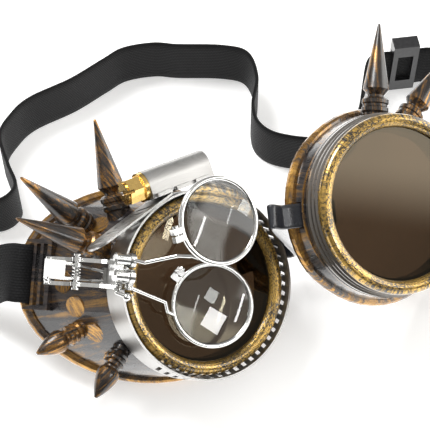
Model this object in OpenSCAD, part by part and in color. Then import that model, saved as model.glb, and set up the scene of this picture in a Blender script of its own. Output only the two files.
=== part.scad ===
// Steampunk goggles lying on a table: two deep eye cups with screwed lens rings, riveted with
// spikes, joined by a nose strap and an elastic headband. A worm-drive hose clamp round the left
// lens ring carries a clip-on double loupe. Each cup is built in its own frame: x towards the
// temple, y towards the forehead, z out along the lens axis, origin at the front of the lens ring.

/* [Where the cups lie] */
// Left cup: centre of the lens ring's front
left_at = [-4.3, -44.2, 38.05]; // [-100:0.01:100]
// Left cup: turn about x, y and z
left_turn = [32, 27.5, 11.6]; // [-90:0.1:90]
// Right cup: centre of the lens ring's front
right_at = [59.6, -24.9, 57.49]; // [-100:0.01:100]
// Right cup: turn about x, y and z
right_turn = [34.6, 17.5, 17.5]; // [-90:0.1:90]

/* [Lens rings] */
// Outside radius of the lens ring's brass bead
ring_r = 30; // [29.6:0.1:30.2]
// Radius of the clear opening in the lens ring
sight_r = 25.4; // [24.5:0.1:25.6]
// Depth of the ring and its skirt
ring_depth = 9.4; // [9:0.1:9.6]
// Lens thickness
lens_t = 2; // [1.5:0.1:2]
// Lens radius
lens_r = 27.4; // [27:0.1:27.6]
// Gasket thickness
gasket_t = 0.8; // [0.5:0.1:0.9]
// Play between the ring's thread and the neck's thread
thread_play = 0.08; // [0.04:0.01:0.1]

/* [Cups] */
// Outside radius of the cup's neck
neck_r = 27.9; // [27.5:0.1:28]
// Radius of the bore through the neck
neck_bore_r = 24.6; // [24:0.1:25]
// Radius of the shoulder behind the ring
shoulder_r = 31; // [30.8:0.1:31]
// Depth of the shoulder's back below the ring's front
shoulder_depth = 11.2; // [11:0.1:11.4]
// Half length of the face rim, nose to temple
rim_a = 43.3; // [42:0.1:45]
// Half height of the face rim
rim_b = 32.5; // [31.5:0.1:33.5]
// Radius of the rim's two round ends
rim_end_r = 27; // [26:0.5:29]
// Radius of the rolled bead along the rim
bead_r = 2; // [1.6:0.1:2.2]
// How far the rim leans back at the temple
rim_tilt = 19.8; // [15:0.1:22]
// Depth of the rim's middle below the ring's front
rim_depth = 30; // [28:0.5:32]
// Offset of the rim's middle towards the temple
rim_shift = 7.3; // [6:0.1:8]
// Thickness of the cup's wall
wall_t = 1.8; // [1.6:0.1:1.9]

/* [Spikes] */
// Length of a long spike
long_len = 32; // [28:0.5:33]
// Radius of a long spike's cone at its widest
long_r = 4.5; // [4:0.1:4.8]
// Length of a short spike
short_len = 18; // [16:0.5:19]
// Radius of a short spike's body at its widest
short_r = 3.9; // [3.5:0.1:4.2]
// Radius of the screw that holds a spike
stud_r = 1.2; // [1:0.05:1.3]

/* [Straps] */
// Width of the elastic headband
band_w = 20; // [19.5:0.1:20.2]
// Thickness of the elastic headband
band_t = 1.3; // [1:0.1:1.4]
// Width of the nose strap
nose_w = 8; // [7:0.1:8.4]
// Thickness of the nose strap
nose_t = 1.4; // [1.2:0.1:1.6]

/* [Hose clamp] */
// Play between the cup's shoulder and the clamp's band
clamp_play = 0.2; // [0.15:0.05:0.3]
// Thickness of the clamp's band
clamp_t = 0.7; // [0.6:0.05:0.8]
// Height of the clamp's band in front of the ring
clamp_front = 1; // [0.6:0.1:1.2]
// Width of the clamp's band
clamp_w = 12; // [11.8:0.1:12]
// Direction of the worm housing, seen from the front
housing_dir = 115; // [112:1:120]

/* [Double loupe] */
// Outside radius of a loupe rim
loupe_r = 14.3; // [13.8:0.1:14.4]
// Radius of the loupe rim's wire
rim_wire_r = 0.85; // [0.7:0.05:1]
// Radius of a loupe arm's wire
arm_wire_r = 0.65; // [0.6:0.05:0.8]
// Centre of the upper loupe in the left cup's frame, x towards the nose
upper_loupe_at = [-11.1, 18.8, 24.4]; // [-30:0.1:30]
// Centre of the lower loupe in the left cup's frame, x towards the nose
lower_loupe_at = [0.1, -6.8, 3.7]; // [-30:0.1:30]
// Lean of the lower loupe about y
lower_loupe_lean = -12; // [-15:1:-8]

/* [Hidden] */
$fn = 64;

// Spikes: base point on the wall (x to the temple), direction round the lens axis, lean forward
left_long = [[25.6, 22.6, -20.4, 70, 0], [34.2, 17.0, -26.0, 24, 16], [32.1, 9.3, -16.8, 12, 3]];
right_long = [[5.2, 31.4, -21.4, 81, 0], [19, 28.5, -25.0, 48, 0], [34.2, 17.0, -26.0, 24, 16]];
short_spikes = [[32.8, -17.4, -25.6, -31, 0], [22.3, -23.5, -16.2, -64, 0]];
screw_head_r = 2.8;
screw_head_z = 4.4;
screw_hole_r = stud_r + 0.1;

// Rim: four arcs, two round ends and two long flanks
end_c = rim_a - rim_end_r;
flank_r = (pow(end_c, 2) + pow(rim_b, 2) - pow(rim_end_r, 2)) / (2 * (rim_b - rim_end_r));
flank_c = flank_r - rim_b;
end_half = atan2(flank_c, end_c);
arc_steps = 12;

function end_arc(r, side) = [for (i = [0 : arc_steps])
    let (a = side + end_half * (2 * i / arc_steps - 1))
    [end_c * cos(side), 0] + r * [cos(a), sin(a)]];
function flank_arc(r, side) = [for (i = [1 : arc_steps - 1])
    let (a = side - 90 + end_half + (180 - 2 * end_half) * i / arc_steps)
    [0, -flank_c * sin(side)] + r * [cos(a), sin(a)]];
function rim_outline(grow) = concat(end_arc(rim_end_r + grow, 0), flank_arc(flank_r + grow, 90),
    end_arc(rim_end_r + grow, 180), flank_arc(flank_r + grow, 270));

module rim_plane() {
    translate([rim_shift, 0, -rim_depth]) rotate([0, rim_tilt, 0]) children();
}

bead_sides = 12;
bead_flat = 1.5;

// Rolled bead: one tube along the rim's outline, with a flat back where it meets the face
module rim_bead() {
    n = len(rim_outline(0));
    rings = [for (k = [0 : bead_sides - 1]) let (a = k * 360 / bead_sides, mid = rim_outline(bead_r * cos(a)))
        [for (p = mid) [p[0], p[1], max(bead_r * sin(a), -bead_flat)]]];
    rim_plane() polyhedron([for (ring = rings) each ring], [for (k = [0 : bead_sides - 1]) for (i = [0 : n - 1])
        let (a = k * n + i, b = k * n + (i + 1) % n, c = ((k + 1) % bead_sides) * n + i,
            d = ((k + 1) % bead_sides) * n + (i + 1) % n) each [[a, c, b], [b, c, d]]]);
}

module wall_form(grow, top, below) {
    hull() {
        translate([0, 0, -shoulder_depth - top]) cylinder(r = shoulder_r - 0.5 + grow, h = 0.4, $fn = 96);
        rim_plane() translate([0, 0, -0.3 - below]) linear_extrude(0.6) polygon(rim_outline(grow));
    }
}

// Frame on the temple side of the wall: x back along the wall, z out of it
wall_back = [rim_shift + rim_a * cos(rim_tilt) - shoulder_r + 0.5,
    -rim_depth - rim_a * sin(rim_tilt) + shoulder_depth];
wall_angle = atan2(-wall_back[1], wall_back[0]);
wall_len = norm(wall_back);

module temple_wall() {
    translate([shoulder_r - 0.5, 0, -shoulder_depth]) rotate([0, wall_angle, 0]) children();
}

bracket_slots = [0.72, 0.80, 0.88];
slot_w = 1.8;
slot_len = band_w + 1;
pad_out = 1.6;

module bracket_pad() {
    temple_wall() translate([wall_len * 0.65, -slot_len / 2 - 1.5, -4])
        cube([wall_len * 0.29, slot_len + 3, 4 + pad_out]);
}

module bracket_holes() {
    temple_wall() for (s = bracket_slots)
        translate([wall_len * s - slot_w / 2, -slot_len / 2, -8]) cube([slot_w, slot_len, 14]);
}

// Round vents: shallow discs on the wall, placed by angle and by how far back they lie
vents = [[-4, 0.52], [-19, 0.42], [-36, 0.34], [34, 0.36], [-58, 0.42]];
vent_r = 3.6;
vent_out = 0.5;

function wall_point(a, s) = let (u = rim_a * cos(a), v = rim_b * sin(a))
    (1 - s) * [(shoulder_r - 0.5) * cos(a), (shoulder_r - 0.5) * sin(a), -shoulder_depth]
    + s * [rim_shift + u * cos(rim_tilt), v, -rim_depth - u * sin(rim_tilt)];

module vent_discs(grow) {
    for (v = vents)
        let (p = wall_point(v[0], v[1]), a = atan2(p[1] / pow(rim_b, 2), p[0] / pow(rim_a, 2)))
        translate(p) rotate([0, 0, a]) rotate([0, wall_angle, 0])
            translate([0, 0, -1.6]) cylinder(r = vent_r + grow, h = 1.6 + vent_out + grow);
}

module spike_frame(s) {
    translate([s[0], s[1], s[2]]) rotate([0, 0, s[3]]) rotate([0, 90 - s[4], 0]) children();
}

nose_slot_len = nose_w + 0.8;
nose_slot_w = nose_t + 0.7;
nose_slot_r = 32.4;
nose_slot_depth = 13;

module nose_slot(dir) {
    rotate([0, 0, dir]) translate([-nose_slot_r, 0, -nose_slot_depth])
        cube([12, nose_slot_len, nose_slot_w], center = true);
}

left_nose_dir = -25;
right_nose_dir = 2;

module cup(long_spikes, nose_dir) {
    difference() {
        union() {
            translate([0, 0, -shoulder_depth]) cylinder(r = shoulder_r, h = shoulder_depth - ring_depth - 0.3);
            translate([0, 0, -shoulder_depth]) cylinder(r = neck_r, h = shoulder_depth - neck_front);
            difference() {
                union() {
                    wall_form(0, 0, 0);
                    bracket_pad();
                    vent_discs(0);
                }
                wall_form(-wall_t, 1.2, 4);
            }
            rim_bead();
        }
        translate([0, 0, -shoulder_depth - 3]) cylinder(r = neck_bore_r, h = 20);
        bracket_holes();
        nose_slot(nose_dir);
        for (s = concat(long_spikes, short_spikes)) spike_frame(s)
            translate([0, 0, -12]) cylinder(r = screw_hole_r, h = 24);
    }
}

neck_front = 2.4 + lens_t + gasket_t;

// Lens ring: half-round brass bead in front, stepped grip skirt behind, smooth bore for the thread
bead_mid = (ring_r + sight_r) / 2;
bead_half = (ring_r - sight_r) / 2;
bead_h = 2.3;

module lens_ring() {
    bead_arc = [for (i = [0 : 10]) let (a = 180 - i * 18)
        [bead_mid + bead_half * cos(a), -bead_h + bead_h * sin(a)]];
    steps = [[-0.6, -3.4], [-0.6, -3.9], [0.1, -4.3], [0.1, -5.1], [-0.4, -5.5], [-0.4, -5.8],
        [0.4, -6.2], [0.4, -7.0], [0, -7.4], [0, -7.6], [0.9, -8], [0.9, -ring_depth]];
    skirt = [for (s = steps) [ring_r + s[0], s[1]],
        [neck_r + thread_play, -ring_depth], [neck_r + thread_play, -2.4], [sight_r, -2.4]];
    rotate_extrude($fn = 96) polygon(concat(bead_arc, skirt));
}

module lens() {
    translate([0, 0, -2.45 - lens_t]) cylinder(r = lens_r, h = lens_t);
}

module gasket() {
    translate([0, 0, -2.5 - lens_t - gasket_t + 0.1]) difference() {
        cylinder(r = lens_r, h = gasket_t - 0.1);
        translate([0, 0, -1]) cylinder(r = neck_bore_r, h = 3);
    }
}

module long_spike() {
    rotate_extrude($fn = 40) polygon([[0, -8], [3.9, -8], [3.9, 0.5], [4.6, 1.2], [4.6, 2.4], [4.2, 2.8],
        [4.2, 3.6], [4.6, 4], [4.6, 5.2], [3.9, 5.9], [2.8, 6.2], [2.8, 6.9], [long_r, 9],
        [long_r * 0.93, 11], [0.5, long_len - 0.5], [0.25, long_len], [0, long_len]]);
}

module short_spike() {
    ogive = [for (i = [0 : 8]) let (t = i / 8)
        [short_r * (1 - 0.88 * pow(t, 1.7)), 9.2 + (short_len - 9.2) * t]];
    rotate_extrude($fn = 40) polygon(concat([[0, -8], [2.6, -8], [2.6, 0.3], [3.2, 0.8], [3.5, 1.6],
        [3.1, 2.4], [3.5, 3], [3.5, 3.8], [3.1, 4.3], [3.5, 4.8], [3.5, 5.7], [2.7, 6.3], [2.7, 6.9],
        [3.6, 8]], ogive, [[0, short_len]]));
}

module stud_hole() {
    translate([0, 0, -9]) cylinder(r = stud_r, h = 14);
}

module spikes(list) {
    difference() {
        for (s = list) spike_frame(s) children();
        wall_form(0.02, 0, 0);
        vent_discs(0.02);
        for (s = list) spike_frame(s) stud_hole();
    }
}

module spike_screws(list) {
    for (s = list) spike_frame(s) translate([0, 0, -screw_head_z]) cylinder(r = stud_r, h = screw_head_z + 4.9);
    intersection() {
        for (s = list) spike_frame(s) translate([0, 0, -screw_head_z]) cylinder(r = screw_head_r, h = screw_head_z);
        wall_form(-wall_t, 1.2, 4);
    }
}

// Turns a point or a direction from a cup's frame to the table's frame
function about_x(v, a) = [v[0], v[1] * cos(a) - v[2] * sin(a), v[1] * sin(a) + v[2] * cos(a)];
function about_y(v, a) = [v[0] * cos(a) + v[2] * sin(a), v[1], v[2] * cos(a) - v[0] * sin(a)];
function about_z(v, a) = [v[0] * cos(a) - v[1] * sin(a), v[0] * sin(a) + v[1] * cos(a), v[2]];
function turned(v, t) = about_z(about_y(about_x(v, t[0]), t[1]), t[2]);

module left() { translate(left_at) rotate(left_turn) children(); }
module right() { translate(right_at) rotate(right_turn) children(); }
module left_mirrored() { left() mirror([1, 0, 0]) children(); }

// A strap is a list of stations [centre, direction of its width], smoothed between them
function unit(v) = v / norm(v);
function blend4(a, b, c, d, t) = 0.5 * (2 * b + (c - a) * t + (2 * a - 5 * b + 4 * c - d) * t * t
    + (3 * b - a - 3 * c + d) * t * t * t);
function smooth(list, steps) = let (n = len(list))
    [for (i = [0 : n - 2]) for (k = [0 : steps - 1])
        blend4(list[max(i - 1, 0)], list[i], list[i + 1], list[min(i + 2, n - 1)], k / steps),
     list[n - 1]];

module strap(stations, w, t, steps) {
    path = smooth(stations, steps);
    n = len(path);
    corners = [for (i = [0 : n - 1])
        let (p = path[i][0], along = unit(path[min(i + 1, n - 1)][0] - path[max(i - 1, 0)][0]),
            up0 = path[i][1], up = unit(up0 - (up0 * along) * along), out = cross(along, up))
        each [p - up * w / 2 - out * t / 2, p + up * w / 2 - out * t / 2,
              p + up * w / 2 + out * t / 2, p - up * w / 2 + out * t / 2]];
    sides = [for (i = [0 : n - 2]) for (k = [0 : 3])
        let (a = i * 4 + k, b = i * 4 + (k + 1) % 4) each [[a, b, b + 4], [a, b + 4, a + 4]]];
    ends = [[3, 2, 1], [3, 1, 0], [4 * n - 4, 4 * n - 3, 4 * n - 2], [4 * n - 4, 4 * n - 2, 4 * n - 1]];
    polyhedron(corners, concat(sides, ends));
}

function left_point(p) = left_at + turned([-p[0], p[1], p[2]], left_turn);
function right_point(p) = right_at + turned(p, right_turn);
function wall_frame(x, z) = [shoulder_r - 0.5 + x * cos(wall_angle) + z * sin(wall_angle), 0,
    -shoulder_depth - x * sin(wall_angle) + z * cos(wall_angle)];
left_up = turned([0, 1, 0], left_turn);
right_up = turned([0, 1, 0], right_turn);

// Headband: out of the left bracket, round over the table on its edge, into the right bracket
slot_x = wall_len * bracket_slots[2];
bracket_route = [[slot_x, -5], [slot_x, -1], [slot_x + 0.3, 2.4], [slot_x + 2.5, 4.6],
    [slot_x + 8, 5]];
right_exit = [[slot_x, -5], [slot_x, -1], [slot_x + 0.2, 2.4], [slot_x + 0.4, 5]];
table_up = [0, 0, 1];
band_mid = band_w / 2 + 0.02;
table_route = [[-106.3, -7.9], [-102.3, -0.9], [-92.3, 2.1], [-80.3, 2.6], [-74.8, 9.1],
    [-78.3, 19.1], [-82.3, 32.1], [-78.6, 42.1], [-72.1, 49.9], [-57.3, 58.9], [-45.3, 68.6],
    [-37.8, 74.3], [-26.3, 76.9], [-16.6, 76.1], [1.3, 75.6], [10.7, 72.1], [14.2, 60.1],
    [12.5, 47.1], [14.7, 37.6], [23.1, 32.1], [39.7, 31.1], [51.7, 41.1], [57.2, 67.1],
    [62.7, 71.6], [67.7, 72.3], [76.2, 73.5], [81.7, 74.3], [89.7, 72.6], [96.7, 65.1],
    [101.7, 53.1], [98.7, 39.1], [98.9, 28.1], [98, 18.1]];

headband_route = concat(
    [for (p = bracket_route) [left_point(wall_frame(p[0], p[1])), left_up]],
    [[[-86.3, -28.9, 16], unit(left_up + 0.9 * table_up)], [[-100.3, -19.9, band_mid + 0.6], table_up]],
    [for (p = table_route) [[p[0], p[1], band_mid], table_up]],
    [[[94.6, 11.2, 11], unit(right_up + 0.8 * table_up)]],
    [for (i = [3 : -1 : 0]) [right_point(wall_frame(right_exit[i][0], right_exit[i][1])), right_up]]);

// Nose strap: from inside the left cup, out through its slot, into the right cup's slot
function nose_dir_point(r, dir, z) = [-r * cos(dir), -r * sin(dir), z];
left_nose_up = turned([sin(left_nose_dir), cos(left_nose_dir), 0], left_turn);
right_nose_up = turned([-sin(right_nose_dir), cos(right_nose_dir), 0], right_turn);
nose_mid = -nose_slot_depth;
left_nose = [[20.5, -15.2], [26, nose_mid - 0.1], [32, nose_mid], [38.2, nose_mid], [42, nose_mid + 3]];
right_nose = [[41.5, nose_mid - 1.6], [37.5, nose_mid - 0.1], [32, nose_mid], [26, nose_mid],
    [19, nose_mid + 0.4]];
nose_route = concat(
    [for (q = left_nose) [left_point(nose_dir_point(q[0], left_nose_dir, q[1])), left_nose_up]],
    [for (q = right_nose) [right_point(nose_dir_point(q[0], right_nose_dir, q[1])), right_nose_up]]);

// Slide: a flat frame with two slots and a middle bar, threaded on the headband
slide_at = [71.9, 72.9];
slide_dir = 8;
slide_len = 10;
slide_h = 25;
slide_t = 5.6;

module strap_slide() {
    color("#1c1b1b") translate([slide_at[0], slide_at[1], slide_h / 2]) rotate(slide_dir) difference() {
        intersection() {
            cube([slide_len, slide_t, slide_h], center = true);
            rotate([0, 90, 0]) cylinder(r = slide_h * 0.53, h = slide_len * 2, center = true, $fn = 12);
        }
        translate([0, 0, band_mid - slide_h / 2])
            cube([slide_len * 2, band_t + 1.6, band_w + 0.6], center = true);
        cube([slide_len - 4, slide_t * 2, band_w - 6], center = true);
    }
}

// Hose clamp, in the left cup's frame with x towards the nose
clamp_back = clamp_front - clamp_w;
clamp_r = shoulder_r + clamp_play;
clamp_out = clamp_r + clamp_t;
tail_dir = 130;
tail_len = 27;
perf_pitch = 3.4;
perf_w = 1.3;
perf_len = 7;
perf_slant = 18;
perf_step = 360 * perf_pitch / (2 * PI * clamp_out);
perf_first = 245;
perf_count = 33;

module perforation() {
    rotate([perf_slant, 0, 0]) cube([4, perf_w, perf_len], center = true);
}

module clamp_band() {
    mid = clamp_front - clamp_w / 2;
    color("#c9c8c4") difference() {
        union() {
            translate([0, 0, clamp_back]) difference() {
                cylinder(r = clamp_out, h = clamp_w, $fn = 96);
                translate([0, 0, -1]) cylinder(r = clamp_r, h = clamp_w + 2, $fn = 96);
            }
            rotate(tail_dir) translate([clamp_out - 0.05, -6, clamp_back]) {
                cube([clamp_t, tail_len, clamp_w]);
                translate([0, tail_len, clamp_w / 2]) rotate([0, 90, 0])
                    cylinder(r = clamp_w / 2, h = clamp_t);
            }
        }
        for (i = [0 : perf_count]) rotate(perf_first + i * perf_step)
            translate([clamp_r, 0, mid]) perforation();
        rotate(tail_dir) for (i = [0 : 6]) translate([clamp_out, 3 + i * perf_pitch, mid]) perforation();
    }
}

worm_lift = 5.7;
worm_v = clamp_out + worm_lift;
saddle_v = worm_v - 4.6;
worm_r = 3.4;
housing_r = 5;
housing_left = -9;
housing_right = 15;
head_af = 8;
head_len = 5.4;

module housing_frame() { rotate(housing_dir - 90) translate([0, 0, clamp_front - clamp_w / 2]) children(); }

module clamp_housing() {
    span = housing_right - housing_left;
    color("#d2d1cd") housing_frame() difference() {
        union() {
            translate([housing_left, worm_v, 0]) rotate([0, 90, 0]) cylinder(r = housing_r, h = span);
            translate([housing_left, saddle_v, -5]) cube([span, worm_v - saddle_v, 10]);
            for (i = [0 : 2]) translate([housing_left + 1 + i * 7.6, saddle_v + 0.2, -6.6 + i * 0.2])
                cube([5.6, 1.2, 13.2 - i * 0.4]);
        }
        translate([housing_left - 1, worm_v, 0]) rotate([0, 90, 0])
            cylinder(r = worm_r + 0.08, h = span - 1.2);
        translate([0, 0, -10]) cylinder(r = clamp_out + 0.9, h = 20, $fn = 96);
        rotate(tail_dir - housing_dir + 90) translate([clamp_out - 1, -8, -clamp_w / 2 - 0.2])
            cube([clamp_t + 1.2, 40, clamp_w + 0.4]);
    }
}

module clamp_screw() {
    color("#b9902f") housing_frame() translate([housing_left, worm_v, 0]) rotate([0, -90, 0])
        difference() {
            union() {
                translate([0, 0, -20]) cylinder(r = worm_r, h = 20.1);
                translate([0, 0, 0.1]) cylinder(r = 4.9, h = 1.5);
                translate([0, 0, 1.6]) cylinder(r = head_af / sqrt(3), h = head_len, $fn = 6);
                translate([0, 0, 1.6 + head_len - 0.01]) cylinder(r = head_af / 2 - 0.6, h = 0.5);
            }
            translate([-6, -0.6, 1.6 + head_len - 1.4]) cube([12, 1.2, 3]);
        }
}

// Clip of the loupe, on the temple side of the clamp's band: x towards the nose
clip_pin_at = [-46.5, 0, -2.5];
// Outside radius of the band that the clip's and loupes' points are drawn for; they follow the real one
clip_drawn_r = 31.9;
pin_r = 0.7;
barrel_r = 2;
barrel_z = 4.5;
upper_barrel_y = 4.9;
lower_barrel_y = -0.3;
barrel_end = -29.8;
barrel_start = -36.5;
side_y = 3.9;
side_t = 1.3;

module on_clamp() { translate([clip_drawn_r - clamp_out, 0, 0]) children(); }

module band_hook(r_in, r_out, z_low, z_high, half_angle) {
    rotate(180 - half_angle) translate([0, 0, z_low]) rotate_extrude(angle = 2 * half_angle, $fn = 96)
        translate([r_in, 0]) square([r_out - r_in, z_high - z_low]);
}

// A bent wire with rounded elbows; the first `bare` points get no ball
module wire(points, r, bare = 0) {
    for (i = [0 : len(points) - 2])
        let (d = points[i + 1] - points[i], len = norm(d))
        translate(points[i]) rotate([0, acos(d[2] / len), atan2(d[1], d[0])]) cylinder(r = r, h = len, $fn = 24);
    for (i = [bare : len(points) - 1]) translate(points[i]) sphere(r = r * 1.04, $fn = 24);
}

module clip_base() {
    color("#d6d4cf") difference() {
        union() {
            rotate(172) rotate_extrude(angle = 16, $fn = 96) polygon([[30.35, -1.2], [30.95, -1.2],
                [30.95, clamp_front + 0.1], [34.4, clamp_front + 0.1], [34.4, clamp_front + 0.6],
                [30.35, clamp_front + 0.6]]);
            for (y = [upper_barrel_y, lower_barrel_y]) translate([barrel_start, y, barrel_z])
                rotate([0, 90, 0]) cylinder(r = barrel_r, h = barrel_end - barrel_start);
            translate([barrel_start - 0.5, lower_barrel_y, clamp_front + 0.6])
                cube([3.2, upper_barrel_y - lower_barrel_y, 3.6]);
            for (s = [-1, 1]) translate([0, s * side_y + side_t / 2, 0]) rotate([90, 0, 0]) {
                linear_extrude(side_t) polygon([[-33, 2.1], [-40, 1.95], [-46.2, -1.6], [-49.4, -5.6],
                    [-52.9, -8.6], [-54.1, -10.2], [-50.6, -7.4], [-46.8, -3.6], [-40.3, 0.45], [-33, 1.1]]);
                translate([clip_pin_at[0], clip_pin_at[2], 0]) cylinder(r = 1.9, h = side_t);
            }
            translate([-53.3, -side_y - 0.4, -9.2]) rotate([-90, 0, 0]) cylinder(r = 1.15, h = 2 * side_y + 0.8);
            wire([[-33.6, -3.4, 1.6], [-34.6, -5.6, 3.2], [-32.2, -6.6, 4.8]], 0.7);
            translate([-31.9, -6.9, 5.2]) sphere(r = 1.4);
        }
        translate(clip_pin_at) rotate([90, 0, 0]) cylinder(r = pin_r + 0.02, h = 14, center = true);
        for (y = [upper_barrel_y, lower_barrel_y]) translate([barrel_end - 4, y, barrel_z])
            rotate([0, 90, 0]) cylinder(r = 1.05, h = 6);
    }
}

module clip_lever() {
    color("#cfcdc8") difference() {
        union() {
            band_hook(31.9, 33.2, clamp_back - 1.2, clamp_back - 0.1, 5);
            wire([[-33, 1.6, clamp_back - 0.65], [-38.5, 2, -9.5], [-46.5, 2.2, -2.5]], 0.6);
            wire([[-33, -1.6, clamp_back - 0.65], [-38.5, -2, -9.5], [-46.5, -2.2, -2.5]], 0.6);
            for (s = [-1, 1]) translate([clip_pin_at[0], s * 2.1 + 0.6, clip_pin_at[2]])
                rotate([90, 0, 0]) cylinder(r = 1.6, h = 1.2);
            wire([[-46.5, 2.2, -2.5], [-52, 2.4, -0.6]], 0.6);
            wire([[-46.5, -2.2, -2.5], [-52, -2.4, -0.6]], 0.6);
            translate([-51.5, -3, -0.6]) rotate([0, -172, 0]) translate([0, 0, -0.5]) cube([7, 6, 1]);
            translate([-57.5, -3.4, 0.3]) sphere(r = 1);
        }
        translate(clip_pin_at) rotate([90, 0, 0]) cylinder(r = pin_r + 0.05, h = 14, center = true);
    }
}

module clip_pin() {
    color("#b8b6b0") translate(clip_pin_at) rotate([90, 0, 0]) {
        cylinder(r = pin_r, h = 10.4, center = true);
        for (s = [-1, 1]) translate([0, 0, s * 5.4]) cylinder(r = 1.2, h = 0.6, center = true);
    }
}

// Torsion spring: one unbroken coil round the pin between the lever's two eyes
spring_turns = 2.5;
spring_wire = 0.28;
spring_r = 1.25;
spring_pitch = 1.0;
spring_gap = spring_pitch - 2 * spring_wire;
ring_sides = 6;
curl_steps = 8;

module clip_spring() {
    n = round(spring_turns * curl_steps);
    coil = [for (i = [0 : n]) let (a = i * 360 / curl_steps, y = (i / curl_steps - spring_turns / 2) * spring_pitch)
        [clip_pin_at[0] + spring_r * cos(a), clip_pin_at[1] + y, clip_pin_at[2] + spring_r * sin(a)]];
    rings = [for (i = [0 : n]) let (a = i * 360 / curl_steps) for (k = [0 : ring_sides - 1])
        let (b = k * 360 / ring_sides)
        coil[i] + spring_wire * (cos(b) * [cos(a), 0, sin(a)] + sin(b) * [0, 1, 0])];
    sides = [for (i = [0 : n - 1]) for (k = [0 : ring_sides - 1])
        let (a = i * ring_sides + k, b = i * ring_sides + (k + 1) % ring_sides)
        each [[a, a + ring_sides, b], [b, a + ring_sides, b + ring_sides]]];
    ends = [[for (k = [0 : ring_sides - 1]) k], [for (k = [ring_sides - 1 : -1 : 0]) n * ring_sides + k]];
    echo(spring_gap = spring_gap);
    color("#d8d6d0") polyhedron(rings, concat(sides, ends));
}

module barrel_screws() {
    color("#a8873c") for (y = [upper_barrel_y, lower_barrel_y]) translate([barrel_end - 3.8, y, barrel_z])
        rotate([0, 90, 0]) difference() {
            cylinder(r = 1, h = 3.6);
            translate([-0.2, -2, 3.1]) cube([0.4, 4, 2]);
        }
}

// Loupe arms: an eye that turns on its barrel, a bent wire and the wire rim round the lens
eye_r = 2.5;
eye_w = 1.6;
// Lug on the lower eye that takes the wire's end
lug_w = 2.1;
lug_h = 1.8;
rim_mid_r = loupe_r - rim_wire_r;
glass_r = rim_mid_r - rim_wire_r - 0.05;
glass_mid = 1.2;
glass_edge = 0.35;
glass_steps = 8;

module loupe_rim() {
    rotate_extrude($fn = 96) translate([rim_mid_r, 0]) circle(rim_wire_r, $fn = 24);
}

module closing_block(dir) {
    rotate(dir) translate([loupe_r + 1.2, 0, 0]) difference() {
        cube([3.2, 4.4, 2.4], center = true);
        cube([3.6, 0.5, 3], center = true);
        rotate([90, 0, 0]) cylinder(r = 0.55, h = 6, center = true);
    }
}

module rim_screw(dir) {
    rotate(dir) translate([loupe_r + 1.2, 0, 0]) rotate([90, 0, 0]) difference() {
        union() {
            cylinder(r = 0.5, h = 4.6, center = true);
            translate([0, 0, 2.25]) cylinder(r = 1, h = 0.7);
        }
        translate([-0.15, -2, 2.6]) cube([0.3, 4, 1]);
    }
}

module barrel_eye(y) {
    translate([barrel_end - 0.3 - eye_w, y, barrel_z]) rotate([0, 90, 0]) difference() {
        cylinder(r = eye_r, h = eye_w);
        translate([0, 0, -1]) cylinder(r = barrel_r + 0.05, h = eye_w + 2);
    }
}

module loupe_glass() {
    dome = [for (i = [0 : glass_steps]) let (r = glass_r * i / glass_steps)
        [r, glass_edge + (glass_mid - glass_edge) * (1 - pow(r / glass_r, 2))]];
    under = [for (i = [glass_steps : -1 : 0]) [dome[i][0], -dome[i][1]]];
    rotate_extrude($fn = 96) polygon(concat(dome, under));
}

upper_block_dir = 203;
lower_block_dir = 145;

module upper_loupe_frame() {
    color("#cccac4") {
        translate(upper_loupe_at) {
            loupe_rim();
            closing_block(upper_block_dir);
        }
        barrel_eye(upper_barrel_y);
        wire([[-30.9, upper_barrel_y, barrel_z + 2.75], [-28.0, 4.4, 8.4], [-19.6, 7.2, 14], [-16.6, 7.2, 18.5],
            upper_loupe_at + [rim_mid_r * cos(256), rim_mid_r * sin(256), 0]], arm_wire_r);
    }
}

module upper_loupe_lens() {
    color([0.85, 0.93, 0.9, 0.5]) translate(upper_loupe_at) loupe_glass();
}

module upper_rim_screw() {
    color("#b8b6b0") translate(upper_loupe_at) rim_screw(upper_block_dir);
}

module lower_lean() { translate(lower_loupe_at) rotate([0, lower_loupe_lean, 0]) children(); }

module lower_loupe_frame() {
    color("#cccac4") {
        lower_lean() {
            loupe_rim();
            closing_block(lower_block_dir);
        }
        barrel_eye(lower_barrel_y);
        translate([barrel_end - 0.3 - eye_w, lower_barrel_y - 4.3, barrel_z - lug_h / 2]) cube([eye_w, lug_w, lug_h]);
        wire([[-30.9, lower_barrel_y - 3.4, barrel_z], [-17.2, -7.3, 3.4], [-15.6, -10.2, 2.2],
            lower_loupe_at + [rim_mid_r * cos(198) * cos(lower_loupe_lean), rim_mid_r * sin(198),
                -rim_mid_r * cos(198) * sin(lower_loupe_lean)]], arm_wire_r, 1);
    }
}

module lower_loupe_lens() {
    color([0.85, 0.93, 0.9, 0.5]) lower_lean() loupe_glass();
}

module lower_rim_screw() {
    color("#b8b6b0") lower_lean() rim_screw(lower_block_dir);
}

bronze = "#5b4024";
brass = "#a77d2c";
smoke = [0.32, 0.2, 0.1, 0.75];

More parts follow.
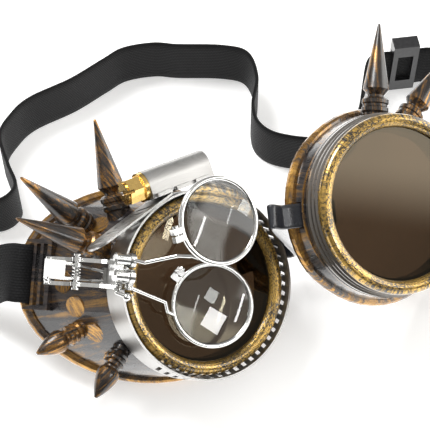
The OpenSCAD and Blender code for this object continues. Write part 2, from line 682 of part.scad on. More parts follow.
color(bronze) left_mirrored() cup(left_long, left_nose_dir);  // left_cup
color(brass) left() lens_ring();  // left_lens_ring
color(smoke) left() lens();  // left_lens
color("#222222") left() gasket();  // left_gasket
color(bronze) left_mirrored() spikes(left_long) long_spike();  // left_long_spikes
color(bronze) left_mirrored() spikes(short_spikes) short_spike();  // left_short_spikes
color("#888888") left_mirrored()  // left_spike_screws
    spike_screws(concat(left_long, short_spikes));
color(bronze) right() cup(right_long, right_nose_dir);  // right_cup
color(brass) right() lens_ring();  // right_lens_ring
color(smoke) right() lens();  // right_lens
color("#222222") right() gasket();  // right_gasket
color(bronze) right() spikes(right_long) long_spike();  // right_long_spikes
color(bronze) right() spikes(short_spikes) short_spike();  // right_short_spikes
color("#888888") right()  // right_spike_screws
    spike_screws(concat(right_long, short_spikes));
color("#151515") strap(nose_route, nose_w, nose_t, 8);  // nose_strap
color("#1d1d1f") strap(headband_route, band_w, band_t, 5);  // headband
strap_slide();
left() clamp_band();
left() clamp_housing();
left() clamp_screw();
left() on_clamp() clip_base();
left() on_clamp() clip_lever();
left() on_clamp() clip_pin();
left() on_clamp() clip_spring();
left() on_clamp() barrel_screws();
left() on_clamp() upper_loupe_frame();
left() on_clamp() upper_loupe_lens();
left() on_clamp() upper_rim_screw();
left() on_clamp() lower_loupe_frame();
left() on_clamp() lower_loupe_lens();
left() on_clamp() lower_rim_screw();
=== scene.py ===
import bpy
import math
from mathutils import Vector, Matrix, Euler

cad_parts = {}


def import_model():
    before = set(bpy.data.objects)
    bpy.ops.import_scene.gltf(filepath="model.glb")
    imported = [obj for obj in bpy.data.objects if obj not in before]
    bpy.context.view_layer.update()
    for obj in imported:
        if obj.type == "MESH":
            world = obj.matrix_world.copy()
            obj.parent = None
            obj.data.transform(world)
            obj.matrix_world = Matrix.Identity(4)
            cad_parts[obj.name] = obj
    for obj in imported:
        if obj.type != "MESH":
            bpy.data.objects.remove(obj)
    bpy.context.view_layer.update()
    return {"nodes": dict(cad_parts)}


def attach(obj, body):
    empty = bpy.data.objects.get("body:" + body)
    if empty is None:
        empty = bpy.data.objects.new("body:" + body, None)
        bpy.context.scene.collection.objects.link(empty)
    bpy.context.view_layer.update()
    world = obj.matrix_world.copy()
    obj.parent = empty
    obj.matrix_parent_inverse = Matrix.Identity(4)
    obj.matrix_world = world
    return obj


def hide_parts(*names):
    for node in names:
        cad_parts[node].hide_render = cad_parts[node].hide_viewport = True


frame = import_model()
NODES = frame["nodes"]
MM = 0.001

# ---- sizes of part.scad, in millimetres and degrees
# A cup's frame has x to the image's right, y up and z out along the lens axis.
LEFT_AT, LEFT_TURN = (-4.3, -44.2, 38.05), (32, 27.5, 11.6)
RIGHT_AT, RIGHT_TURN = (59.6, -24.9, 57.49), (34.6, 17.5, 17.5)
SHOULDER_R, SHOULDER_DEPTH = 31.0, 11.2
RIM_A, RIM_B, RIM_TILT = 43.3, 32.5, math.radians(19.8)
RIM_DEPTH, RIM_SHIFT = 30.0, 7.3
WALL_INSET = 0.5
VENTS = [(-4, 0.52), (-19, 0.42), (-36, 0.34), (34, 0.36), (-58, 0.42)]  # angle, share of the way back
VENT_R = 3.6
HEADBAND_W, HEADBAND_T = 20.0, 1.3
NOSE_W, NOSE_T = 8.0, 1.4
LEFT_NOSE_DIR, RIGHT_NOSE_DIR = -25, 2
LOUPE_LENS_R, LOUPE_LENS_EDGE, LOUPE_LENS_MID = 12.55, 0.35, 1.2  # half thicknesses
UPPER_LOUPE_AT, LOWER_LOUPE_AT, LOWER_LOUPE_LEAN = (-11.1, 18.8, 24.4), (0.1, -6.8, 3.7), -12

STRAP_STEPS = 10  # points per stretch of a strap's route
STRAP_CELLS = 8  # across a strap's flat
LENS_RINGS, LENS_SEGMENTS = 20, 96


def euler(turn):
    return Euler([math.radians(a) for a in turn], "XYZ")


def place(at, turn):
    return Matrix.Translation(Vector(at)) @ euler(turn).to_matrix().to_4x4()


LEFT, RIGHT = place(LEFT_AT, LEFT_TURN), place(RIGHT_AT, RIGHT_TURN)


def add_object(name, mesh, mat):
    mesh.materials.append(mat)
    obj = bpy.data.objects.new(name, mesh)
    bpy.context.scene.collection.objects.link(obj)
    return obj


# ---- shader nodes
class Graph:
    """A material's or the world's node tree, with short calls for the nodes used here."""

    def __init__(self, name=None, tree=None):
        if tree is None:
            self.mat = bpy.data.materials.new(name)
            self.mat.use_nodes = True
            tree = self.mat.node_tree
            self.bsdf = tree.nodes["Principled BSDF"]
        self.tree = tree

    def node(self, kind, **values):
        n = self.tree.nodes.new("ShaderNode" + kind)
        for k, v in values.items():
            setattr(n, k, v)
        return n

    def link(self, a, b):
        self.tree.links.new(a, b)

    def put(self, socket, value):
        if isinstance(value, (int, float, tuple)):
            socket.default_value = value
        else:
            self.link(value, socket)

    def math(self, op, a, b=0.0):
        n = self.node("Math", operation=op)
        self.put(n.inputs[0], a)
        self.put(n.inputs[1], b)
        return n.outputs[0]

    def add(self, a, b):
        return self.math("ADD", a, b)

    def sub(self, a, b):
        return self.math("SUBTRACT", a, b)

    def mul(self, a, b):
        return self.math("MULTIPLY", a, b)

    def larger(self, a, b):
        return self.math("MAXIMUM", a, b)

    def scaled(self, a, factor, offset):
        return self.add(self.mul(a, factor), offset)

    def blend(self, a, share, b):
        return self.add(self.mul(a, share), self.mul(b, 1 - share))

    def around_half(self, a, factor):
        """A noise moved to swing about zero."""
        return self.mul(self.sub(a, 0.5), factor)

    def step(self, a, low, high, to_low=0.0, to_high=1.0):
        """a turned smoothly from to_low at `low` to to_high at `high`."""
        n = self.node("MapRange", interpolation_type="SMOOTHSTEP")
        self.put(n.inputs[0], a)
        for i, v in enumerate((low, high, to_low, to_high)):
            n.inputs[i + 1].default_value = v
        return n.outputs[0]

    def clamp01(self, a):
        n = self.node("Clamp")
        self.put(n.inputs[0], a)
        return n.outputs[0]

    def local(self, at=(0, 0, 0), turn=(0, 0, 0)):
        """Object coordinates in millimetres in a frame that stands at `at`, turned by `turn`."""
        m = self.node("Mapping", vector_type="TEXTURE")
        m.inputs["Location"].default_value = [c * MM for c in at]
        m.inputs["Rotation"].default_value = euler(turn)
        m.inputs["Scale"].default_value = (MM, MM, MM)
        self.link(self.node("TexCoord").outputs["Object"], m.inputs["Vector"])
        return m.outputs[0]

    def split(self, vec):
        n = self.node("SeparateXYZ")
        self.link(vec, n.inputs[0])
        return n.outputs[0], n.outputs[1], n.outputs[2]

    def join(self, x, y, z):
        n = self.node("CombineXYZ")
        for s, v in zip(n.inputs, (x, y, z)):
            self.put(s, v)
        return n.outputs[0]

    def round_coords(self, vec, along, across, outward):
        """Coordinates round the frame's z axis, the radius, and z.

        Noise in them runs `along` the turn, `across` it and `outward` from the axis at these scales.
        Sine and cosine of the angle keep it seamless.
        """
        x, y, z = self.split(vec)
        r = self.math("SQRT", self.add(self.mul(x, x), self.mul(y, y)))
        s = self.mul(self.math("DIVIDE", x, r), along)
        c = self.mul(self.math("DIVIDE", y, r), along)
        return self.join(s, c, self.add(self.mul(z, across), self.mul(r, outward))), r, z

    def noise(self, vec, scale, detail, rough, distortion=0.0):
        n = self.node("TexNoise")
        self.link(vec, n.inputs["Vector"])
        n.inputs["Scale"].default_value = scale
        n.inputs["Detail"].default_value = detail
        n.inputs["Roughness"].default_value = rough
        n.inputs["Distortion"].default_value = distortion
        return n.outputs["Fac"]

    def stretched(self, vec, x, y, z):
        m = self.node("Mapping")
        m.inputs["Scale"].default_value = (x, y, z)
        self.link(vec, m.inputs["Vector"])
        return m.outputs[0]

    def ramp(self, fac, stops):
        n = self.node("ValToRGB")
        els = n.color_ramp.elements
        while len(els) < len(stops):
            els.new(0.5)
        for e, (pos, col) in zip(els, stops):
            e.position = pos
            e.color = (*col, 1) if isinstance(col, tuple) else (col, col, col, 1)
        self.link(fac, n.inputs[0])
        return n.outputs[0]

    def mix(self, fac, a, b):
        n = self.node("Mix", data_type="RGBA")
        self.put(n.inputs["Factor"], fac)
        self.put(n.inputs[6], (*a, 1) if isinstance(a, tuple) else a)
        self.put(n.inputs[7], (*b, 1) if isinstance(b, tuple) else b)
        return n.outputs[2]

    def bump(self, height, strength, distance_mm):
        n = self.node("Bump")
        n.inputs["Strength"].default_value = strength
        n.inputs["Distance"].default_value = distance_mm * MM
        self.link(height, n.inputs["Height"])
        return n.outputs[0]

    def finish(self, color, rough, normal=None, **consts):
        inputs = self.bsdf.inputs
        self.put(inputs["Base Color"], color)
        self.put(inputs["Roughness"], rough)
        if normal is not None:
            self.link(normal, inputs["Normal"])
        for k, v in consts.items():
            inputs[k.replace("_", " ").title().replace("Ior", "IOR")].default_value = v
        return self.mat


# ---- materials
RING = dict(dark=(0.010, 0.007, 0.004), mid=(0.13, 0.080, 0.018), gold=(0.44, 0.275, 0.066),
            along=34.0, across=2.6, outward=2.6, sharp=0.055, cover=0.03, patchy=0.35,
            metal=0.85, coat=0.6, skirt=-3.6)
SPIKE = dict(dark=(0.010, 0.008, 0.007), mid=(0.06, 0.033, 0.016), gold=(0.30, 0.155, 0.045),
             along=55.0, across=0.9, outward=0.22, sharp=0.08, cover=-0.02, patchy=0.5,
             metal=0.8, coat=0.15)
CUP_WALL = [(0.40, (0.014, 0.012, 0.013)), (0.50, (0.060, 0.046, 0.040)),
            (0.60, (0.24, 0.135, 0.045)), (0.75, (0.38, 0.22, 0.07))]
CUP_TRIM = [(0.36, (0.016, 0.010, 0.006)), (0.47, (0.12, 0.062, 0.018)),
            (0.58, (0.36, 0.185, 0.040)), (0.76, (0.56, 0.32, 0.080))]
# Painted reflection: this grey stands for the pale room mirrored in the ring skirt's glossy black plastic.
SKIRT_PAINTED_REFLECTION_GREY = (0.16, 0.145, 0.13)
SMOKE, SMOKE_GLOSS = (0.022, 0.012, 0.006), (1.0, 0.86, 0.64)
CLEAR = (0.95, 0.985, 0.97)
STUD_STEEL, BAND_STEEL = (0.55, 0.55, 0.54), (0.47, 0.465, 0.455)
BRASS, NICKEL = (0.85, 0.58, 0.20), (0.66, 0.66, 0.65)
RIB_MM, PICK_MM = 0.95, 1.1  # the weave's ribs and cross stitches


def brushed_bronze(name, at, turn, dark, mid, gold, along, across, outward, sharp, cover, patchy,
                   metal, coat, skirt=None):
    """Black plastic dry-brushed with metallic paint. Behind `skirt` on the lens axis it has less paint, and
    the bare plastic is painted shiny grey, a painted reflection of the pale room in its gloss.
    """
    g = Graph(name)
    vec = g.local(at, turn)
    turned, _, z = g.round_coords(vec, along, across, outward)
    streak = g.noise(turned, 1.0, 5, 0.65, 0.2)
    fine = g.noise(vec, 2.2, 3, 0.6)
    patch = g.noise(vec, 0.07, 3, 0.5)
    f = g.add(g.add(g.blend(streak, 0.78, fine), g.around_half(patch, patchy)), cover)
    if skirt is not None:
        f = g.sub(f, g.step(z, skirt, skirt - 0.5, 0.0, 0.16))
    f = g.clamp01(f)
    bright = tuple(min(1, c * 1.4) for c in gold)
    col = g.ramp(f, [(0.50 - sharp, dark), (0.50, mid), (0.50 + sharp, gold), (0.50 + 2.4 * sharp, bright)])
    shiny = g.step(f, 0.47, 0.58, 0.0, metal)
    if skirt is not None:
        # Painted reflection: where the skirt's paint is thin, it is coloured grey and made shinier instead of
        # glossy black.
        bare_painted_reflection = g.mul(g.step(z, skirt, skirt - 0.5), g.step(f, 0.52, 0.46))
        col = g.mix(bare_painted_reflection, col, SKIRT_PAINTED_REFLECTION_GREY)
        shiny = g.larger(shiny, g.mul(bare_painted_reflection, 0.75))
    g.link(shiny, g.bsdf.inputs["Metallic"])
    return g.finish(col, g.scaled(streak, 0.25, 0.18), g.bump(f, 0.4, 0.10),
                    coat_weight=coat, coat_roughness=0.08)


def vent_point(angle, back):
    """A vent's middle in the cup's frame, with x towards the temple."""
    a = math.radians(angle)
    r = SHOULDER_R - WALL_INSET
    front = Vector((r * math.cos(a), r * math.sin(a), -SHOULDER_DEPTH))
    u, v = RIM_A * math.cos(a), RIM_B * math.sin(a)
    rear = Vector((RIM_SHIFT + u * math.cos(RIM_TILT), v, -RIM_DEPTH - u * math.sin(RIM_TILT)))
    return front.lerp(rear, back)


def raised_places(g, vec, r, temple):
    """1 on the rolled rim, the shoulder's edge and the vents. `temple` is the sign of x on their side."""
    x, _, z = g.split(vec)
    outer = g.sub(g.mul(x, temple), RIM_SHIFT)
    over_rim = g.add(g.mul(outer, math.sin(RIM_TILT)), g.mul(g.add(z, RIM_DEPTH), math.cos(RIM_TILT)))
    from_edge = g.math("ABSOLUTE", g.add(z, SHOULDER_DEPTH))
    edge = g.mul(g.step(r, SHOULDER_R - 0.8, SHOULDER_R - 0.3), g.step(from_edge, 0.9, 0.3))
    raised = g.larger(g.step(over_rim, 2.6, 1.2), edge)
    for angle, back in VENTS:
        middle = vent_point(angle, back)
        d = g.node("VectorMath", operation="DISTANCE")
        g.link(vec, d.inputs[0])
        d.inputs[1].default_value = (temple * middle.x, middle.y, middle.z)
        raised = g.larger(raised, g.step(d.outputs["Value"], VENT_R + 0.35, VENT_R - 0.1))
    return raised


def cup_bronze(name, at, turn, temple):
    """Dark glossy wall with dry-brushed strokes; rolled rim, shoulder edge and vents in copper gold."""
    g = Graph(name)
    vec = g.local(at, turn)
    wall_vec, r, _ = g.round_coords(vec, 20.0, 0.16, 0.16)
    rim_vec, _, _ = g.round_coords(vec, 7.0, 2.4, 1.6)
    strokes = g.noise(wall_vec, 1.0, 5, 0.62, 0.5)
    rim_strokes = g.noise(rim_vec, 1.0, 4, 0.6)
    fine = g.noise(vec, 2.2, 3, 0.6)
    patch = g.noise(vec, 0.07, 3, 0.5)
    raised = raised_places(g, vec, r, temple)
    paint = g.add(g.sub(g.blend(strokes, 0.80, fine), 0.055), g.around_half(patch, 0.55))
    worn = g.add(g.blend(rim_strokes, 0.75, fine), g.add(g.around_half(patch, 0.45), 0.035))
    f = g.clamp01(g.add(paint, g.mul(raised, g.sub(worn, paint))))
    g.link(g.mul(g.step(f, 0.44, 0.56), g.scaled(raised, 0.35, 0.5)), g.bsdf.inputs["Metallic"])
    return g.finish(g.mix(raised, g.ramp(f, CUP_WALL), g.ramp(f, CUP_TRIM)), g.scaled(strokes, 0.25, 0.16),
                    g.bump(f, 0.4, 0.10), coat_weight=0.5, coat_roughness=0.06)


def metal(name, color, rough, at=(0, 0, 0), turn=(0, 0, 0), brushed=False, grain=0.5):
    g = Graph(name)
    vec = g.local(at, turn)
    if brushed:
        lines, _, _ = g.round_coords(vec, 2.0, 3.2, 3.2)
        n = g.noise(lines, 2.2, 4, 0.7)
    else:
        n = g.noise(vec, grain, 4, 0.6)
    smudge = g.noise(vec, 0.12, 2, 0.5)
    col = g.mix(g.ramp(n, [(0.3, 0.0), (0.7, 1.0)]), tuple(c * 0.82 for c in color), color)
    r = g.add(g.mul(n, 0.16 if brushed else 0.07), g.scaled(smudge, 0.10, rough - 0.1))
    return g.finish(col, r, g.bump(n, 0.25 if brushed else 0.1, 0.05), metallic=1.0)


def lens_glass(name, color, dust, ior, gloss=(1, 1, 1), at=LEFT_AT, turn=LEFT_TURN):
    """Tinted or clear lens: the tint drifts a little, and specks of dust dull the gloss."""
    g = Graph(name)
    vec = g.local(at, turn)
    drift = g.step(g.noise(vec, 0.05, 2, 0.4), 0.3, 0.7)
    specks = g.step(g.noise(vec, 3.2, 2, 0.5), 0.76, 0.82)
    return g.finish(g.mix(drift, tuple(c * 0.92 for c in color), color), g.mul(specks, dust),
                    transmission_weight=1.0, ior=ior, specular_tint=(*gloss, 1))


def rubber(name):
    g = Graph(name)
    n = g.noise(g.local(), 1.5, 4, 0.6)
    return g.finish(g.ramp(n, [(0.3, 0.012), (0.7, 0.03)]), g.scaled(n, 0.2, 0.5), g.bump(n, 0.3, 0.1))


def vinyl(name):
    g = Graph(name)
    vec = g.local()
    grain = g.noise(vec, 2.6, 3, 0.6)
    soft = g.noise(vec, 0.25, 3, 0.5)
    return g.finish(g.mix(soft, (0.010, 0.011, 0.014), (0.024, 0.027, 0.036)), g.scaled(grain, 0.2, 0.2),
                    g.bump(grain, 0.25, 0.12), coat_weight=0.5, coat_roughness=0.15)


def elastic(name, width, length):
    """Woven elastic: lengthwise ribs, short cross stitches that alternate from rib to rib, fuzz and wear. Its
    colour follows the weave's height, so the grooves are darker: painted shade.
    """
    g = Graph(name)
    u, v, _ = g.split(g.node("TexCoord").outputs["UV"])
    rib = g.mul(v, width / RIB_MM)
    odd = g.math("MODULO", g.math("FLOOR", rib), 2.0)
    pick = g.add(g.mul(u, length / PICK_MM), g.mul(odd, 0.5))
    rib_wave, pick_wave = [g.math("ABSOLUTE", g.math("SINE", g.mul(wave, math.pi))) for wave in (rib, pick)]
    weave = g.mul(g.math("POWER", rib_wave, 0.6), g.scaled(pick_wave, 0.45, 0.55))
    vec = g.local()
    fuzz = g.noise(vec, 3.0, 4, 0.7)
    worn = g.noise(vec, 0.06, 3, 0.5)
    h = g.add(weave, g.mul(fuzz, 0.35))
    # Colour by weave height: the grooves between ribs and stitches are painted darker, painted shade; fuzz
    # and wear vary it at random.
    painted_groove_shade_and_wear = g.mul(h, g.scaled(worn, 0.5, 0.5))
    col = g.ramp(painted_groove_shade_and_wear, [(0.1, (0.0010, 0.0010, 0.0012)), (0.55, (0.0035, 0.0035, 0.004)),
                         (0.95, (0.009, 0.009, 0.010))])
    return g.finish(col, g.scaled(fuzz, 0.2, 0.62), g.bump(h, 0.7, 0.25),
                    sheen_weight=0.03, sheen_roughness=0.5, specular_ior_level=0.2)


def gloss_black(name):
    g = Graph(name)
    vec = g.local()
    n = g.noise(vec, 0.8, 4, 0.6)
    scuff = g.noise(g.stretched(vec, 0.4, 3.0, 0.6), 1.5, 3, 0.6)
    return g.finish(g.ramp(n, [(0.3, (0.008, 0.008, 0.009)), (0.7, (0.02, 0.02, 0.022))]),
                    g.scaled(scuff, 0.25, 0.2), g.bump(scuff, 0.15, 0.1))


def floor_mat():
    """A white table top that glows a little when seen, also through a lens, and more when mirrored."""
    g = Graph("table_white")
    g.finish(g.mix(g.noise(g.local(), 0.02, 2, 0.5), (0.80, 0.80, 0.795), (0.83, 0.83, 0.825)), 0.6)
    path = g.node("LightPath").outputs
    seen = g.larger(path["Is Camera Ray"], path["Is Transmission Ray"])
    glow = g.node("Emission")
    glow.inputs["Color"].default_value = (1, 1, 1, 1)
    g.link(g.add(g.mul(seen, 0.40), g.mul(path["Is Glossy Ray"], 1.3)), glow.inputs["Strength"])
    both = g.node("AddShader")
    g.link(g.bsdf.outputs[0], both.inputs[0])
    g.link(glow.outputs[0], both.inputs[1])
    g.link(both.outputs[0], g.tree.nodes["Material Output"].inputs["Surface"])
    return g.mat


def dress(mat, *nodes):
    for node in nodes:
        slots = NODES[node].data.materials
        slots.clear()
        slots.append(mat)


def materials():
    for side, at, turn, temple in (("left", LEFT_AT, LEFT_TURN, -1), ("right", RIGHT_AT, RIGHT_TURN, 1)):
        dress(cup_bronze(side + "_cup_bronze", at, turn, temple), side + "_cup")
        dress(brushed_bronze(side + "_ring_gold", at, turn, **RING), side + "_lens_ring")
        dress(lens_glass(side + "_lens_smoke", SMOKE, 0.12, 1.49, SMOKE_GLOSS, at, turn), side + "_lens")
        dress(rubber(side + "_gasket_rubber"), side + "_gasket")
        dress(brushed_bronze(side + "_spike_bronze", at, turn, **SPIKE),
              side + "_long_spikes", side + "_short_spikes")
        dress(metal(side + "_stud_steel", STUD_STEEL, 0.3), side + "_spike_screws")
    dress(metal("band_steel", BAND_STEEL, 0.36, LEFT_AT, LEFT_TURN, brushed=True),
          "clamp_band", "clamp_housing")
    dress(metal("screw_brass", BRASS, 0.20, grain=0.8), "clamp_screw", "barrel_screws")
    dress(metal("nickel", NICKEL, 0.17, grain=1.2), "clip_base", "clip_lever", "clip_pin", "clip_spring",
          "upper_loupe_frame", "lower_loupe_frame", "upper_rim_screw", "lower_rim_screw")
    dress(gloss_black("slide_plastic"), "strap_slide")


# ---- straps, swept along the routes of part.scad
WALL = (RIM_SHIFT + RIM_A * math.cos(RIM_TILT) - SHOULDER_R + WALL_INSET,
        -RIM_DEPTH - RIM_A * math.sin(RIM_TILT) + SHOULDER_DEPTH)
WALL_ANGLE = math.atan2(-WALL[1], WALL[0])
SLOT_X = math.hypot(*WALL) * 0.88
LEFT_UP = LEFT.to_3x3() @ Vector((0, 1, 0))
RIGHT_UP = RIGHT.to_3x3() @ Vector((0, 1, 0))
UP = Vector((0, 0, 1))
BAND_MID = 10.02
TABLE_ROUTE = [(-106.3, -7.9), (-102.3, -0.9), (-92.3, 2.1), (-80.3, 2.6), (-74.8, 9.1),
               (-78.3, 19.1), (-82.3, 32.1), (-78.6, 42.1), (-72.1, 49.9), (-57.3, 58.9), (-45.3, 68.6),
               (-37.8, 74.3), (-26.3, 76.9), (-16.6, 76.1), (1.3, 75.6), (10.7, 72.1), (14.2, 60.1),
               (12.5, 47.1), (14.7, 37.6), (23.1, 32.1), (39.7, 31.1), (51.7, 41.1), (57.2, 67.1),
               (62.7, 71.6), (67.7, 72.3), (76.2, 73.5), (81.7, 74.3), (89.7, 72.6), (96.7, 65.1),
               (101.7, 53.1), (98.7, 39.1), (98.9, 28.1), (98, 18.1)]
LEAVE_LEFT = [(SLOT_X, -5), (SLOT_X, -1), (SLOT_X + 0.3, 2.4), (SLOT_X + 2.5, 4.6), (SLOT_X + 8, 5)]
ENTER_RIGHT = [(SLOT_X + 0.4, 5), (SLOT_X + 0.2, 2.4), (SLOT_X, -1), (SLOT_X, -5)]
NOSE_Z = -13.0
LEFT_NOSE = [(20.5, NOSE_Z - 2.2), (26, NOSE_Z - 0.1), (32, NOSE_Z), (38.2, NOSE_Z), (42, NOSE_Z + 3)]
RIGHT_NOSE = [(41.5, NOSE_Z - 1.6), (37.5, NOSE_Z - 0.1), (32, NOSE_Z), (26, NOSE_Z), (19, NOSE_Z + 0.4)]


def wall_point(x, z):
    """x along the cup's temple wall from the shoulder, z out from it, in the cup's frame."""
    return Vector((SHOULDER_R - WALL_INSET + x * math.cos(WALL_ANGLE) + z * math.sin(WALL_ANGLE), 0,
                   -SHOULDER_DEPTH - x * math.sin(WALL_ANGLE) + z * math.cos(WALL_ANGLE)))


def left_point(p):
    """A point of the left cup's frame, given with x towards the temple."""
    return LEFT @ Vector((-p[0], p[1], p[2]))


def right_point(p):
    return RIGHT @ Vector(p)


def headband_stations():
    """Points of the band's middle, each with the direction of its width."""
    s = [(left_point(wall_point(*q)), LEFT_UP) for q in LEAVE_LEFT]
    s += [(Vector((-86.3, -28.9, 16)), (LEFT_UP + 0.9 * UP).normalized()),
          (Vector((-100.3, -19.9, BAND_MID + 0.6)), UP)]
    s += [(Vector((x, y, BAND_MID)), UP) for x, y in TABLE_ROUTE]
    s += [(Vector((94.6, 11.2, 11)), (RIGHT_UP + 0.8 * UP).normalized())]
    s += [(right_point(wall_point(*q)), RIGHT_UP) for q in ENTER_RIGHT]
    return s


def nose_point(r, turn, z):
    a = math.radians(turn)
    return Vector((-r * math.cos(a), -r * math.sin(a), z))


def nose_stations():
    left_a, right_a = math.radians(LEFT_NOSE_DIR), math.radians(RIGHT_NOSE_DIR)
    left_up = LEFT.to_3x3() @ Vector((math.sin(left_a), math.cos(left_a), 0))
    right_up = RIGHT.to_3x3() @ Vector((-math.sin(right_a), math.cos(right_a), 0))
    return ([(left_point(nose_point(r, LEFT_NOSE_DIR, z)), left_up) for r, z in LEFT_NOSE]
            + [(right_point(nose_point(r, RIGHT_NOSE_DIR, z)), right_up) for r, z in RIGHT_NOSE])


def catmull(a, b, c, d, t):
    return 0.5 * (2 * b + (c - a) * t + (2 * a - 5 * b + 4 * c - d) * t * t
                  + (3 * b - a - 3 * c + d) * t * t * t)


def smooth(stations):
    n, out = len(stations), []
    for i in range(n - 1):
        q = [stations[max(i - 1, 0)], stations[i], stations[i + 1], stations[min(i + 2, n - 1)]]
        for k in range(STRAP_STEPS):
            out.append(tuple(catmull(*[s[j] for s in q], k / STRAP_STEPS) for j in (0, 1)))
    return out + [stations[-1]]


def lengths_along(path):
    out = [0.0]
    for (a, _), (b, _) in zip(path, path[1:]):
        out.append(out[-1] + (b - a).length)
    return out


def strap_section(width, thick, edge):
    """The strap's outline, as (across, outward) pairs, with edges rounded over `edge`."""
    half, t = width / 2, thick / 2
    top = [(-half, 0.0), (-half + 0.12, t * 0.7), (-half + edge, t)]
    top += [(-half + edge + (width - 2 * edge) * k / STRAP_CELLS, t) for k in range(1, STRAP_CELLS)]
    top += [(half - edge, t), (half - 0.12, t * 0.7), (half, 0.0)]
    return top + [(y, -z) for y, z in reversed(top[1:-1])]


def strap(name, path, width, thick, edge, mat):
    """A strap along a path. UV: u along its length, v across its width, both from 0 to 1."""
    ring = strap_section(width, thick, edge)
    n, m = len(path), len(ring)
    dist = lengths_along(path)
    verts, faces, uvs = [], [], []
    for i, (p, tilt) in enumerate(path):
        along = (path[min(i + 1, n - 1)][0] - path[max(i - 1, 0)][0]).normalized()
        up = (tilt - tilt.dot(along) * along).normalized()
        out = along.cross(up)
        verts += [tuple((p + up * y + out * z) * MM) for y, z in ring]
    across = [y / width + 0.5 for y, _ in ring]
    for i in range(n - 1):
        u0, u1 = dist[i] / dist[-1], dist[i + 1] / dist[-1]
        for k in range(m):
            after = (k + 1) % m
            a, b = i * m + k, i * m + after
            faces.append((a, b, b + m, a + m))
            uvs += [(u0, across[k]), (u0, across[after]), (u1, across[after]), (u1, across[k])]
    for face in (tuple(range(m - 1, -1, -1)), tuple((n - 1) * m + k for k in range(m))):
        faces.append(face)
        uvs += [(0.0, across[k % m]) for k in face]
    me = bpy.data.meshes.new(name)
    me.from_pydata(verts, [], faces)
    layer = me.uv_layers.new(name="strap")
    for loop, uv in zip(layer.data, uvs):
        loop.uv = uv
    for poly in me.polygons:
        poly.use_smooth = len(poly.vertices) == 4
    me.update()
    return add_object(name, me, mat)


def straps():
    path = smooth(headband_stations())
    length = lengths_along(path)[-1] * MM
    weave = elastic("elastic_black", HEADBAND_W, length / MM)
    band = strap("headband_elastic", path, HEADBAND_W, HEADBAND_T, 0.32, weave)
    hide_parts("headband")
    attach(band, "goggles")
    nose = strap("nose_strap_vinyl", smooth(nose_stations()), NOSE_W, NOSE_T, 0.5, vinyl("vinyl_black"))
    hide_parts("nose_strap")
    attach(nose, "goggles")


# ---- loupe lenses
def loupe_lens(name, node, at, lean, body, mat):
    """A biconvex lens with a ground edge, at `at` in the left cup's frame and leaning about its y axis."""
    rings, seg = LENS_RINGS, LENS_SEGMENTS
    bulge = LOUPE_LENS_MID - LOUPE_LENS_EDGE
    dome = [(LOUPE_LENS_R * k / rings, LOUPE_LENS_EDGE + bulge * (1 - (k / rings) ** 2))
            for k in range(1, rings + 1)]
    profile = dome + [(LOUPE_LENS_R, -LOUPE_LENS_EDGE)] + [(r, -z) for r, z in reversed(dome[:-1])]
    turn = [2 * math.pi * k / seg for k in range(seg)]
    verts = [(0, 0, LOUPE_LENS_MID)]
    for r, z in profile:
        verts += [(r * math.cos(a), r * math.sin(a), z) for a in turn]
    verts.append((0, 0, -LOUPE_LENS_MID))
    last = len(verts) - 1
    faces = [(0, 1 + k, 1 + (k + 1) % seg) for k in range(seg)]
    for i in range(len(profile) - 1):
        a, b = 1 + i * seg, 1 + (i + 1) * seg
        faces += [(a + k, b + k, b + (k + 1) % seg, a + (k + 1) % seg) for k in range(seg)]
    faces += [(last, last - seg + (k + 1) % seg, last - seg + k) for k in range(seg)]
    seat = LEFT @ Matrix.Translation(Vector(at)) @ Matrix.Rotation(math.radians(lean), 4, "Y")
    me = bpy.data.meshes.new(name)
    me.from_pydata([tuple((seat @ Vector(v)) * MM) for v in verts], [], faces)
    ground = range(1 + (rings - 1) * seg, 1 + (rings + 1) * seg)
    for poly in me.polygons:
        poly.use_smooth = not all(v in ground for v in poly.vertices)
    me.set_sharp_from_angle(angle=math.radians(40))
    o = add_object(name, me, mat)
    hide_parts(node)
    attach(o, body)


def loupe_lenses():
    clear = lens_glass("clear_glass", CLEAR, 0.0, 1.5)
    loupe_lens("upper_lens_clear", "upper_loupe_lens", UPPER_LOUPE_AT, 0, "upper_loupe", clear)
    loupe_lens("lower_lens_clear", "lower_loupe_lens", LOWER_LOUPE_AT, LOWER_LOUPE_LEAN, "lower_loupe", clear)


# ---- camera, table, world and lights, in metres
TABLE_HALF, TABLE_Z = 3.0, -0.0002
CLAMP_SIDE = (-0.005, -0.05, 0.04)


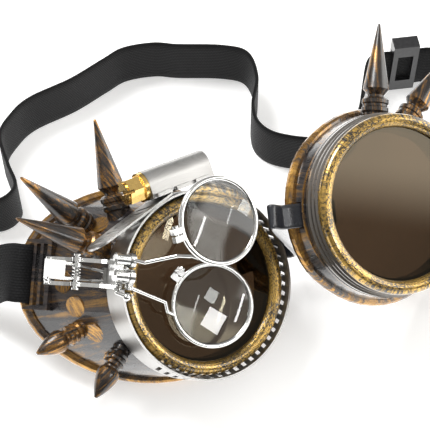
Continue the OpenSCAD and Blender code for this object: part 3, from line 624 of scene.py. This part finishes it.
def camera():
    data = bpy.data.cameras.new("camera")
    data.sensor_width = 36
    data.lens = 117.2
    cam = bpy.data.objects.new("camera", data)
    cam.location = (-0.00194, -0.28488, 0.43611)
    cam.rotation_euler = (math.radians(34), 0, 0)
    bpy.context.scene.collection.objects.link(cam)
    bpy.context.scene.camera = cam


def table():
    s = TABLE_HALF
    me = bpy.data.meshes.new("table_top")
    me.from_pydata([(x, y, TABLE_Z) for x, y in ((-s, -s), (s, -s), (s, s), (-s, s))], [], [(0, 1, 2, 3)])
    add_object("table_top", me, floor_mat())


def world():
    """A pale room: a lit ceiling, a bright wall low on the right that the smoked lenses mirror, dark near."""
    w = bpy.data.worlds.new("studio")
    bpy.context.scene.world = w
    w.use_nodes = True
    g = Graph(tree=w.node_tree)
    background = w.node_tree.nodes["Background"].inputs
    background["Color"].default_value = (1, 0.985, 0.955, 1)
    x, y, z = g.split(g.node("TexCoord").outputs["Generated"])
    wall_end = g.sub(y, g.mul(g.sub(x, 0.84), 0.5))
    wall = g.mul(g.step(wall_end, -0.243, -0.197), g.mul(g.step(x, 0.62, 0.78), g.step(z, 0.68, 0.58)))
    ceiling = g.step(z, 0.35, 0.95, 0.0, 0.45)
    near = g.step(y, -0.75, -0.35, 0.12, 0.30)
    g.link(g.add(g.add(g.mul(wall, 4.5), ceiling), near), background["Strength"])


def light(name, at, size, power, look, roll):
    """An area light `size` wide and high, turned by `roll` degrees about its aim at `look`."""
    data = bpy.data.lights.new(name, "AREA")
    data.energy = power
    data.shape = "RECTANGLE"
    data.size, data.size_y = size
    lamp = bpy.data.objects.new(name, data)
    lamp.location = at
    aim = (Vector(look) - Vector(at)).to_track_quat("-Z", "Y")
    lamp.rotation_euler = (aim.to_matrix() @ Matrix.Rotation(math.radians(roll), 3, "Z")).to_euler()
    bpy.context.scene.collection.objects.link(lamp)


camera()
world()
table()
light("softbox", (-0.35, 0.25, 0.75), (0.32, 0.32), 6.5, (0, 0, 0.03), 45)
light("window", (0.52, -0.50, 0.64), (0.15, 0.15), 1.3, CLAMP_SIDE, 20)
light("tube", (0.66, -0.35, 0.56), (0.020, 0.20), 0.25, CLAMP_SIDE, -73)
materials()
straps()
loupe_lenses()
bpy.context.scene.view_settings.view_transform = "Standard"
